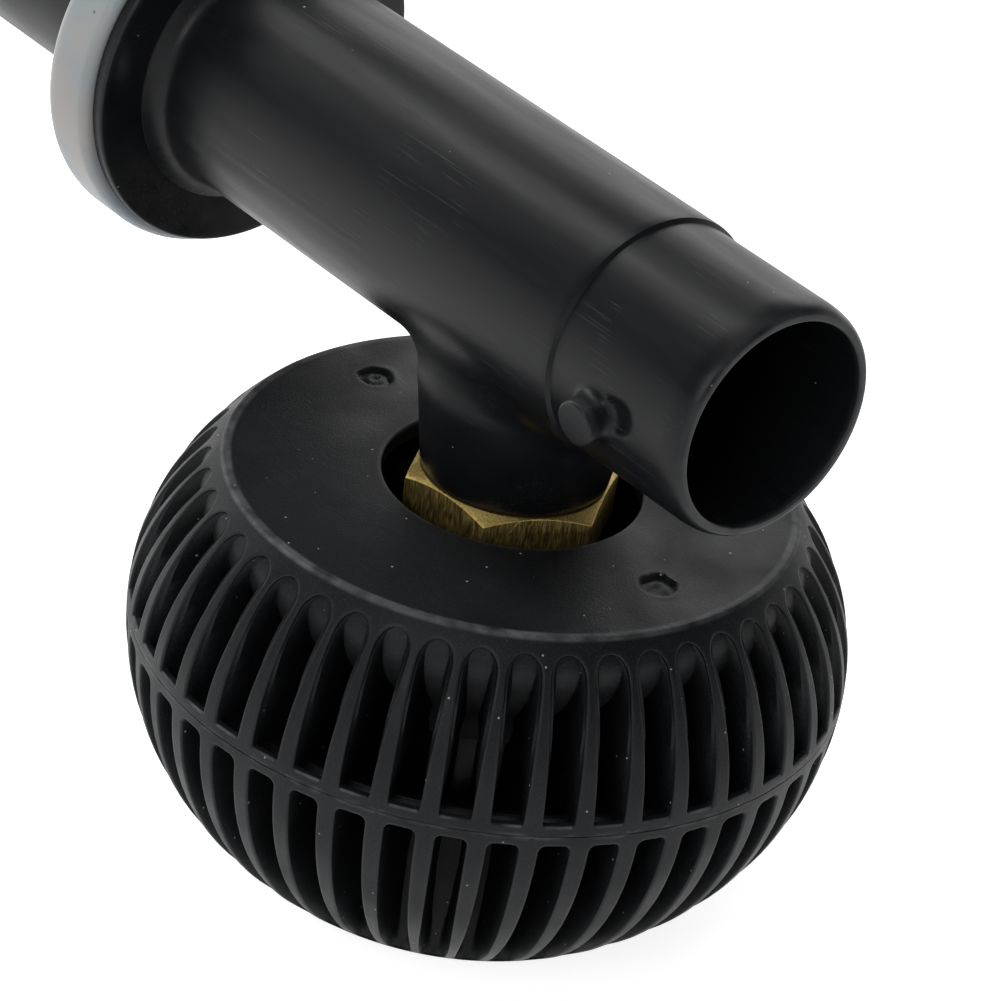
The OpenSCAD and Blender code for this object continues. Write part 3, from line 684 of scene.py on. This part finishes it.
def tube_marks(points):
    """Raises the mould line along the tube's side and sinks the dent beside the front pin."""
    points = points.copy()
    x, y, z = points[:, 0], points[:, 1], points[:, 2] - tube_z
    r, angle = np.hypot(y, z), np.arctan2(z, y) % math.tau
    outside = (r > mouth_r - 0.6) & (r < tube_r + 0.2) & (x > flange_x + 1) & (x < mouth_x - 1)
    fade = np.clip((-14 - x) / 8, 0, 1)
    line = 0.07 * fade * np.exp(-(((angle - math.pi - mould_angle) / 0.012) ** 2))
    away = np.hypot(x - dent_x, mouth_r * (angle - math.pi - dent_angle))
    dent = 0.8 * np.clip(1 - (away / dent_r) ** 2, 0, 1) * (1 + 0.12 * waves(points, 0.5, 31))
    change = np.where(outside & (x < step_x), line, 0) - np.where(outside & (x > step_x), dent, 0)
    points[:, 1] += change * y / r
    points[:, 2] += change * z / r
    return points


def flange_gasket():
    shape = Shape()
    path = [(gasket_x, 20, 0), (gasket_x, gasket_r, 1.5), (gasket_end_x, gasket_r, 1.9),
            (gasket_end_x, gasket_in_r, 0.8), (gasket_x, gasket_in_r, 0.5), (gasket_x, 20, 0)]
    shape.grid(around_x(divided(rounded(path, 7), 0.7), 256), closed=True)

    def uneven(p):
        return p + 0.05 * np.stack([waves(p, 6, 21), waves(p, 5, 22), waves(p, 5, 23)], axis=-1) * [0.4, 1, 1]

    shape.move(uneven)
    return shape.build("silicone_gasket", 60)


# ---------------------------------------------------------------- materials
class Look:
    """A procedural material: one Principled shader and the nodes that feed it."""

    def __init__(self, name, **sockets):
        self.material = bpy.data.materials.new(name)
        self.material.use_nodes = True
        self.tree = self.material.node_tree
        self.shader = self.tree.nodes["Principled BSDF"]
        for label, value in sockets.items():
            self.shader.inputs[label.replace("_", " ")].default_value = value
        self.place = self.node("ShaderNodeTexCoord").outputs["Object"]
        self.height = None

    def node(self, kind, **settings):
        made = self.tree.nodes.new(kind)
        for key, value in settings.items():
            setattr(made, key, value)
        return made

    def feed(self, socket, value):
        """Links a socket to a node's output, or sets its value."""
        if isinstance(value, bpy.types.NodeSocket):
            self.tree.links.new(value, socket)
        else:
            socket.default_value = value

    def stretched(self, scale, turn=(0, 0, 0)):
        made = self.node("ShaderNodeMapping")
        self.feed(made.inputs["Vector"], self.place)
        made.inputs["Scale"].default_value = scale
        made.inputs["Rotation"].default_value = turn
        return made.outputs["Vector"]

    def noise(self, size, detail=3.0, scale=(1, 1, 1), turn=(0, 0, 0), warp=0.0):
        """Noise whose blobs are about `size` mm, from 0 to 1 around 0.5."""
        made = self.node("ShaderNodeTexNoise")
        self.feed(made.inputs["Vector"], self.stretched(scale, turn))
        made.inputs["Scale"].default_value = 1 / (size * MM)
        made.inputs["Detail"].default_value = detail
        made.inputs["Distortion"].default_value = warp
        return made.outputs["Fac"]

    def span(self, value, low, high, to_low=0.0, to_high=1.0):
        """Maps low..high of a value to to_low..to_high, clamped."""
        made = self.node("ShaderNodeMapRange")
        self.feed(made.inputs["Value"], value)
        for label, number in (("From Min", low), ("From Max", high), ("To Min", to_low), ("To Max", to_high)):
            made.inputs[label].default_value = number
        return made.outputs["Result"]

    def maths(self, operation, a, b=0.0):
        made = self.node("ShaderNodeMath", operation=operation)
        self.feed(made.inputs[0], a)
        self.feed(made.inputs[1], b)
        return made.outputs[0]

    def mix(self, factor, a, b):
        """Colour a turning into colour b."""
        made = self.node("ShaderNodeMix", data_type="RGBA")
        self.feed(made.inputs[0], factor)
        for socket, value in ((made.inputs[6], a), (made.inputs[7], b)):
            self.feed(socket, value if isinstance(value, bpy.types.NodeSocket) else (*value, 1))
        return made.outputs[2]

    def specks(self, cell, size, share):
        """Small dots: one in some of the cells of about `cell` mm, `size` mm across. 1 on a dot."""
        made = self.node("ShaderNodeTexVoronoi")
        self.feed(made.inputs["Vector"], self.place)
        made.inputs["Scale"].default_value = 1 / (cell * MM)
        dot = self.span(made.outputs["Distance"], size / cell, size / cell * 0.5)
        pick = self.node("ShaderNodeSeparateColor")
        self.feed(pick.inputs[0], made.outputs["Color"])
        chosen = self.span(pick.outputs[0], 1 - share, 1 - share + 0.02)
        return self.maths("MULTIPLY", dot, chosen)

    def scratches(self, length, width, share, turn):
        """Thin straight marks along one direction. 1 on a mark."""
        long = self.noise(width, 1.0, (width / length, 1, 1), turn)
        line = self.span(long, 1 - share, 1 - share + 0.03)
        patch = self.span(self.noise(length, 1.0), 0.5, 0.62)
        return self.maths("MULTIPLY", line, patch)

    def wear_and_highlight(self):
        """The mesh's own value for wear and painted highlight, broken up by soft noise."""
        made = self.node("ShaderNodeAttribute", attribute_name="wear_and_painted_light")
        return self.maths("MULTIPLY", made.outputs["Fac"], self.span(self.noise(3.5, 2), 0.25, 0.65))

    def colour(self, value):
        self.feed(self.shader.inputs["Base Color"], value)

    def rough(self, value):
        self.feed(self.shader.inputs["Roughness"], value)

    def bump(self, value, depth):
        """Adds a bump of `depth` mm."""
        made = self.node("ShaderNodeBump")
        made.inputs["Distance"].default_value = depth * MM
        self.feed(made.inputs["Height"], value)
        if self.height is not None:
            self.feed(made.inputs["Normal"], self.height)
        self.height = made.outputs["Normal"]
        self.feed(self.shader.inputs["Normal"], self.height)


def strainer_look():
    """Black satin moulding with a fine spark-eroded grain, pale edges for wear and a painted highlight,
    painted shade darkening the slots, and dust.
    """
    look = Look("strainer_black", Specular_IOR_Level=0.2)
    cloud = look.noise(14, 3)
    base = look.mix(cloud, (0.0060, 0.0070, 0.0082), (0.0095, 0.0105, 0.0120))
    # Pale edges: rubbing wear, and a painted highlight on the rims and sills.
    wear_and_highlight = look.wear_and_highlight()
    base = look.mix(look.maths("MULTIPLY", wear_and_highlight, 0.75), base, (0.19, 0.195, 0.205))
    grain = look.noise(0.26, 2)
    base = look.mix(look.span(grain, 0.52, 0.78, 0, 0.7), base, (0.030, 0.033, 0.038))
    dust = look.maths("MAXIMUM", look.specks(2.6, 0.17, 0.6), look.specks(4.6, 0.26, 0.3))
    base = look.mix(dust, base, (0.55, 0.56, 0.56))
    # Painted shade: slot walls and the hidden lip turn near black as their value falls below 0.
    deep = look.node("ShaderNodeAttribute", attribute_name="wear_and_painted_light").outputs["Fac"]
    base = look.mix(look.span(deep, -0.1, -0.8), base, (0.0015, 0.0015, 0.0018))
    look.colour(base)
    patchy = look.span(look.noise(9, 2), 0.35, 0.65, 0.36, 0.50)
    look.rough(look.maths("ADD", patchy, look.maths("MULTIPLY", grain, 0.10)))
    look.bump(grain, 0.045)
    look.bump(look.noise(2.4, 3, (1, 1, 0.25)), 0.02)
    look.bump(look.scratches(5, 0.22, 0.36, (0, 0, 0.6)), 0.012)
    look.bump(dust, 0.06)
    return look.material


def pipe_look():
    """Black satin moulding drawn along the tube, with fine lengthwise scuffs and dust; the mould line is
    raised in the mesh.
    """
    look = Look("pipe_black", Specular_IOR_Level=0.22)
    cloud = look.noise(16, 3, (0.3, 1, 1))
    base = look.mix(cloud, (0.0055, 0.0062, 0.0076), (0.0090, 0.0098, 0.0112))
    # Pale rims and scuffs: wear, and a painted highlight on the mouth's rim.
    base = look.mix(look.maths("MULTIPLY", look.wear_and_highlight(), 0.45), base, (0.10, 0.105, 0.11))
    scuff = look.scratches(11, 0.2, 0.34, (0, 0, 0.06))
    base = look.mix(look.maths("MULTIPLY", scuff, 0.5), base, (0.05, 0.05, 0.055))
    dust = look.maths("MAXIMUM", look.specks(3.6, 0.14, 0.45), look.specks(6.0, 0.24, 0.25))
    base = look.mix(dust, base, (0.40, 0.41, 0.41))
    look.colour(base)
    streak = look.noise(2.6, 3, (0.12, 1, 1))
    rough = look.span(streak, 0.3, 0.7, 0.27, 0.38)
    look.rough(look.maths("ADD", rough, look.maths("MULTIPLY", look.noise(0.2, 2), 0.07)))
    look.bump(look.noise(0.22, 2), 0.009)
    look.bump(look.noise(5, 2, (0.15, 1, 1)), 0.05)
    look.bump(scuff, 0.008)
    look.bump(dust, 0.06)
    return look.material


def silicone_look():
    """Milky blue-white silicone that scatters light, with a few dark specks."""
    look = Look("silicone_milky", Subsurface_Weight=0.55, Subsurface_Scale=0.006, Specular_IOR_Level=0.45)
    look.shader.inputs["Subsurface Radius"].default_value = (0.7, 0.85, 1.0)
    cloud = look.span(look.noise(13, 2), 0.38, 0.62)
    base = look.mix(cloud, (0.42, 0.47, 0.50), (0.53, 0.50, 0.48))
    base = look.mix(look.specks(5.5, 0.3, 0.3), base, (0.10, 0.10, 0.11))
    look.colour(base)
    look.rough(look.span(look.noise(3, 3), 0.3, 0.7, 0.32, 0.46))
    look.bump(look.noise(1.4, 3), 0.03)
    look.bump(look.noise(7, 2), 0.10)
    return look.material


def brass_look():
    """Dark machined brass with brushed marks, some streaks brighter, and tarnish in patches."""
    look = Look("brass_machined", Metallic=1.0)
    tarnish = look.span(look.noise(4.5, 4), 0.36, 0.64)
    base = look.mix(tarnish, (0.66, 0.47, 0.16), (0.40, 0.28, 0.08))
    brushed = look.noise(0.24, 3, (1, 1, 0.14), (0.5, 0.2, 0))
    base = look.mix(look.span(brushed, 0.35, 0.7), base, (0.85, 0.66, 0.24))
    look.colour(base)
    look.rough(look.span(brushed, 0.3, 0.7, 0.36, 0.56))
    look.bump(brushed, 0.014)
    look.bump(look.noise(0.8, 3), 0.012)
    return look.material


def metal_look(name, light, dark, rough, lines=(1, 1, 0.08)):
    """Brushed sheet or turned metal with faint stains."""
    look = Look(name, Metallic=1.0)
    brushed = look.noise(0.3, 3, lines)
    look.colour(look.mix(look.span(look.noise(5, 3), 0.4, 0.65), light, dark))
    look.rough(look.span(brushed, 0.3, 0.7, rough, rough + 0.16))
    look.bump(brushed, 0.008)
    return look.material


def moulded_look(name, light, dark, rough, grain=0.2, depth=0.015):
    """Plain moulded plastic, rubber or ceramic: cloudy colour, fine grain, a little dust."""
    look = Look(name)
    base = look.mix(look.noise(9, 3), dark, light)
    dust = look.specks(4.2, 0.15, 0.35)
    pale = tuple(0.4 + 0.5 * c for c in light)
    look.colour(look.mix(look.maths("MULTIPLY", dust, 0.6), base, pale))
    look.rough(look.span(look.noise(3, 3), 0.3, 0.7, rough, rough + 0.12))
    look.bump(look.noise(grain, 2), depth)
    look.bump(look.noise(3.5, 2), depth * 1.5)
    return look.material


def coil_look():
    """Enamelled copper wire, wound in rows."""
    look = Look("enamelled_copper", Metallic=0.85)
    wave = look.node("ShaderNodeTexWave", bands_direction="Z")
    look.feed(wave.inputs["Vector"], look.place)
    wave.inputs["Scale"].default_value = 1 / (0.35 * MM * math.tau) * 2
    wave.inputs["Distortion"].default_value = 0.4
    look.colour(look.mix(wave.outputs["Fac"], (0.22, 0.07, 0.02), (0.62, 0.27, 0.10)))
    look.rough(look.span(look.noise(1.5, 3), 0.3, 0.7, 0.25, 0.4))
    look.bump(wave.outputs["Fac"], 0.12)
    return look.material


def board_look():
    """Green solder mask with fine copper lines under it."""
    look = Look("solder_mask")
    track = look.node("ShaderNodeTexBrick")
    look.feed(track.inputs["Vector"], look.place)
    track.inputs["Scale"].default_value = 1 / (2.2 * MM)
    track.inputs["Mortar Size"].default_value = 0.05
    lines = track.outputs["Fac"]
    look.colour(look.mix(lines, (0.012, 0.11, 0.045), (0.03, 0.2, 0.08)))
    look.rough(look.span(look.noise(2, 2), 0.3, 0.7, 0.24, 0.36))
    look.bump(lines, 0.03)
    return look.material


looks = {
    "strainer_plastic": strainer_look(),
    "pipe_plastic": pipe_look(),
    "silicone": silicone_look(),
    "brass": brass_look(),
    "rubber": moulded_look("rubber_black", (0.02, 0.02, 0.021), (0.012, 0.012, 0.013), 0.62),
    "stainless_steel": metal_look("steel_brushed", (0.60, 0.60, 0.60), (0.42, 0.42, 0.43), 0.22),
    "casing_plastic": moulded_look("casing_charcoal", (0.014, 0.015, 0.017), (0.009, 0.010, 0.011), 0.46),
    "lamination_steel": metal_look("steel_laminated", (0.34, 0.35, 0.37), (0.20, 0.20, 0.21), 0.35,
                                   (0.1, 0.1, 1.6)),
    "copper": coil_look(),
    "circuit_board": board_look(),
    "chip_plastic": moulded_look("chip_black", (0.02, 0.02, 0.021), (0.013, 0.013, 0.014), 0.45),
    "ceramic": moulded_look("ceramic_white", (0.72, 0.71, 0.68), (0.62, 0.61, 0.58), 0.18, 0.12, 0.004),
    "graphite": moulded_look("graphite_grey", (0.07, 0.07, 0.075), (0.04, 0.04, 0.043), 0.42, 0.1),
    "rotor_plastic": moulded_look("rotor_grey", (0.085, 0.085, 0.09), (0.05, 0.05, 0.055), 0.40),
    "ferrite": moulded_look("ferrite_dark", (0.055, 0.055, 0.06), (0.03, 0.03, 0.033), 0.5, 0.3),
}


# ---------------------------------------------------------------- pieces on the frame
def place(piece, body, node, slot):
    """Gives a piece its body and its material, and hides the CAD node that it stands for."""
    piece.data.materials.clear()
    piece.data.materials.append(looks[slot])
    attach(piece, body)
    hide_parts(node)


place(lower_strainer(), "lower_cage", "lower_strainer", "strainer_plastic")
place(upper_strainer(), "pump_unit", "upper_strainer", "strainer_plastic")
place(tee_pipe(), "pump_unit", "tee_pipe", "pipe_plastic")
place(flange_gasket(), "pump_unit", "flange_gasket", "silicone")

bevels = {"brass_nipple": 0.16, "pump_bracket": 0.2, "bracket_screws": 0.15, "pump_casing": 0.25,
          "inlet_cover": 0.2, "cover_screws": 0.12, "impeller": 0.15, "motor_shell": 0.2, "board_chips": 0.08}
for subpart in frame["record"]["subparts"]:
    node = frame["nodes"][subpart["node"]]
    node.data.materials.clear()
    node.data.materials.append(looks[subpart["material_slot"]])
    if subpart["node"] in bevels:
        weld = node.modifiers.new("weld", "WELD")
        weld.merge_threshold = 1e-6
        bevel = node.modifiers.new("soft_edges", "BEVEL")
        bevel.width = bevels[subpart["node"]] * MM
        bevel.segments = 2
        bevel.limit_method = "ANGLE"
        bevel.angle_limit = math.radians(35)
        bevel.harden_normals = True


# ---------------------------------------------------------------- stage, light and camera
def stage_material(name, whiteness):
    """White to the camera and in reflections, and still darkened by the object's shadow."""
    look = Look(name, Roughness=1.0, Specular_IOR_Level=0.0)
    look.shader.inputs["Base Color"].default_value = (0.8, 0.8, 0.8, 1)
    path = look.node("ShaderNodeLightPath")
    seen = look.maths("MAXIMUM", path.outputs["Is Camera Ray"], path.outputs["Is Glossy Ray"])
    seen = look.maths("MAXIMUM", seen, path.outputs["Is Transmission Ray"])
    look.shader.inputs["Emission Color"].default_value = (1, 1, 1, 1)
    look.feed(look.shader.inputs["Emission Strength"], look.maths("MULTIPLY", seen, whiteness))
    return look.material


def stage_floor():
    mesh = bpy.data.meshes.new("studio_floor")
    reach = 3.0
    corners = [(-reach, -reach, 0), (reach, -reach, 0), (reach, reach, 0), (-reach, reach, 0)]
    mesh.from_pydata(corners, [], [(0, 1, 2, 3)])
    floor = bpy.data.objects.new("studio_floor", mesh)
    bpy.context.scene.collection.objects.link(floor)
    mesh.materials.append(stage_material("floor_white", 0.85))


def stage_backdrop():
    """A low white wall round the floor's edge, so that low views see white too."""
    reach, height, sides = 2.8, 0.6, 96
    angle = np.linspace(0, 2 * math.pi, sides, endpoint=False)
    ring = np.stack([reach * np.cos(angle), reach * np.sin(angle), np.zeros(sides)], axis=-1)
    points = np.concatenate([ring, ring + [0, 0, height]])
    faces = [(n, n + sides, (n + 1) % sides + sides, (n + 1) % sides) for n in range(sides)]
    mesh = bpy.data.meshes.new("studio_backdrop")
    mesh.from_pydata(points.tolist(), [], faces)
    backdrop = bpy.data.objects.new("studio_backdrop", mesh)
    bpy.context.scene.collection.objects.link(backdrop)
    mesh.materials.append(stage_material("backdrop_white", 0.97))


def stage_world():
    """A dim room above the backdrop."""
    world = bpy.data.worlds.new("studio")
    bpy.context.scene.world = world
    world.use_nodes = True
    background = world.node_tree.nodes["Background"]
    background.inputs["Color"].default_value = (1, 1, 1, 1)
    background.inputs["Strength"].default_value = 0.13


def softbox(name, place_m, aim, size, power):
    lamp = bpy.data.lights.new(name, "AREA")
    lamp.shape = "RECTANGLE"
    lamp.size, lamp.size_y = size
    lamp.energy = power
    obj = bpy.data.objects.new(name, lamp)
    obj.location = place_m
    obj.rotation_euler = (Vector(place_m) - Vector(aim)).to_track_quat("Z", "Y").to_euler()
    bpy.context.scene.collection.objects.link(obj)


def camera():
    """The photograph's view: looking down past the mouth, rolled a little."""
    yaw, rise, roll = math.radians(-44.46), math.radians(30.49), math.radians(9.36)
    target, distance = Vector((-0.0066, 0.0050, 0.0510)), 0.602
    back = Vector((math.cos(rise) * math.cos(yaw), math.cos(rise) * math.sin(yaw), math.sin(rise)))
    right = Vector((-math.sin(yaw), math.cos(yaw), 0))
    up = back.cross(right)
    right, up = right * math.cos(roll) + up * math.sin(roll), up * math.cos(roll) - right * math.sin(roll)
    lens = bpy.data.cameras.new("camera")
    lens.sensor_width = 36
    lens.lens = 163
    lens.clip_start = 0.01
    obj = bpy.data.objects.new("camera", lens)
    turn = Matrix((right, up, back)).transposed().to_4x4()
    obj.matrix_world = Matrix.Translation(target + back * distance) @ turn
    bpy.context.scene.collection.objects.link(obj)
    bpy.context.scene.camera = obj


stage_floor()
stage_backdrop()
stage_world()
middle = (0, 0, 0.06)
softbox("top", (0.05, -0.05, 1.0), middle, (0.7, 0.7), 1.7)
softbox("back", (-0.58, 0.62, 0.48), middle, (0.75, 0.36), 2.0)
softbox("strip", (-0.68, -0.04, 0.88), middle, (0.2, 0.9), 3.0)
softbox("left", (-0.85, -0.25, 0.42), middle, (0.4, 0.35), 1.5)
softbox("front", (0.35, -0.80, 0.62), middle, (0.5, 0.4), 2.6)
camera()
bpy.context.scene.view_settings.view_transform = "Standard"
